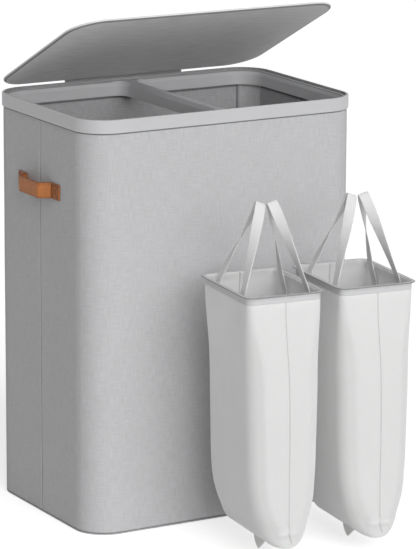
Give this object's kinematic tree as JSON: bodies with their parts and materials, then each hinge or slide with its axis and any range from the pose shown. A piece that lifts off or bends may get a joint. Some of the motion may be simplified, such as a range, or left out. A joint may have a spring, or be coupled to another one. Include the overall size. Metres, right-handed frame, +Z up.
{
  "type": "laundry hamper with two liner bags",
  "caption": "Tall fabric laundry hamper with a moulded two-mouth rim, a hinged lid, leather handles and lift-out liner bags.",
  "frame": {"origin": "centre of the hamper's base, on the floor", "axes": "+Z up; the front faces -Y; +X is the right-hand side seen from the front"},
  "size_m": [0.5716, 0.6676, 0.859],
  "materials": {
    "rim_plastic": "fine satin moulding",
    "grey_linen": "woven linen look",
    "board_fabric": "plain weave over board",
    "lining_fabric": "smooth lining",
    "hinge_fabric": "close woven strip",
    "tan_leather": "stitched tan leather",
    "white_fabric": "white coated cloth",
    "webbing": "flat woven webbing"
  },
  "bodies": {
    "hamper": {"rim_frame": "rim_plastic", "cover_walls": "grey_linen", "cover_bottom": "grey_linen", "base_board": "board_fabric", "front_board": "board_fabric", "back_board": "board_fabric", "left_front_board": "board_fabric", "left_back_board": "board_fabric", "right_front_board": "board_fabric", "right_back_board": "board_fabric", "left_handle": "tan_leather", "right_handle": "tan_leather", "hinge_strip": "hinge_fabric"},
    "lid": {"lid_panel": "rim_plastic", "lid_lining": "lining_fabric"},
    "left_liner": {"left_liner_rim": "rim_plastic", "left_liner_bag": "white_fabric", "left_liner_pull_tab": "webbing", "left_liner_left_front_tail": "webbing", "left_liner_left_back_tail": "webbing", "left_liner_right_front_tail": "webbing", "left_liner_right_back_tail": "webbing"},
    "left_liner_left_loop": {"left_liner_left_strap": "webbing"},
    "left_liner_right_loop": {"left_liner_right_strap": "webbing"},
    "right_liner": {"right_liner_rim": "rim_plastic", "right_liner_bag": "white_fabric", "right_liner_pull_tab": "webbing", "right_liner_left_front_tail": "webbing", "right_liner_left_back_tail": "webbing", "right_liner_right_front_tail": "webbing", "right_liner_right_back_tail": "webbing"},
    "right_liner_left_loop": {"right_liner_left_strap": "webbing"},
    "right_liner_right_loop": {"right_liner_right_strap": "webbing"}
  },
  "joints": [
    {"name": "lid_hinge", "type": "hinge", "parent": "hamper", "child": "lid", "pos_m": [0, 0.1895, 0.6785], "axis": [-1, 0, 0], "range_deg": [-25.9, 84.1], "deforming": ["hinge_strip"]},
    {"name": "left_liner_lift", "type": "slide", "parent": "hamper", "child": "left_liner", "axis": [0, 0, 1], "range_m": [0, 0.6]},
    {"name": "left_liner_left_fold", "type": "hinge", "parent": "left_liner", "child": "left_liner_left_loop", "pos_m": [-0.0985, -0.36138, 0.454], "axis": [-0.1045, -0.9945, 0], "range_deg": [0, 100]},
    {"name": "left_liner_right_fold", "type": "hinge", "parent": "left_liner", "child": "left_liner_right_loop", "pos_m": [0.0103, -0.37282, 0.454], "axis": [0.1045, 0.9945, 0], "range_deg": [0, 20]},
    {"name": "right_liner_lift", "type": "slide", "parent": "hamper", "child": "right_liner", "axis": [0, 0, 1], "range_m": [0, 0.6]},
    {"name": "right_liner_left_fold", "type": "hinge", "parent": "right_liner", "child": "right_liner_left_loop", "pos_m": [0.0659, -0.37568, 0.454], "axis": [-0.1045, -0.9945, 0], "range_deg": [0, 20]},
    {"name": "right_liner_right_fold", "type": "hinge", "parent": "right_liner", "child": "right_liner_right_loop", "pos_m": [0.1747, -0.38712, 0.454], "axis": [0.1045, 0.9945, 0], "range_deg": [0, 100]}
  ]
}
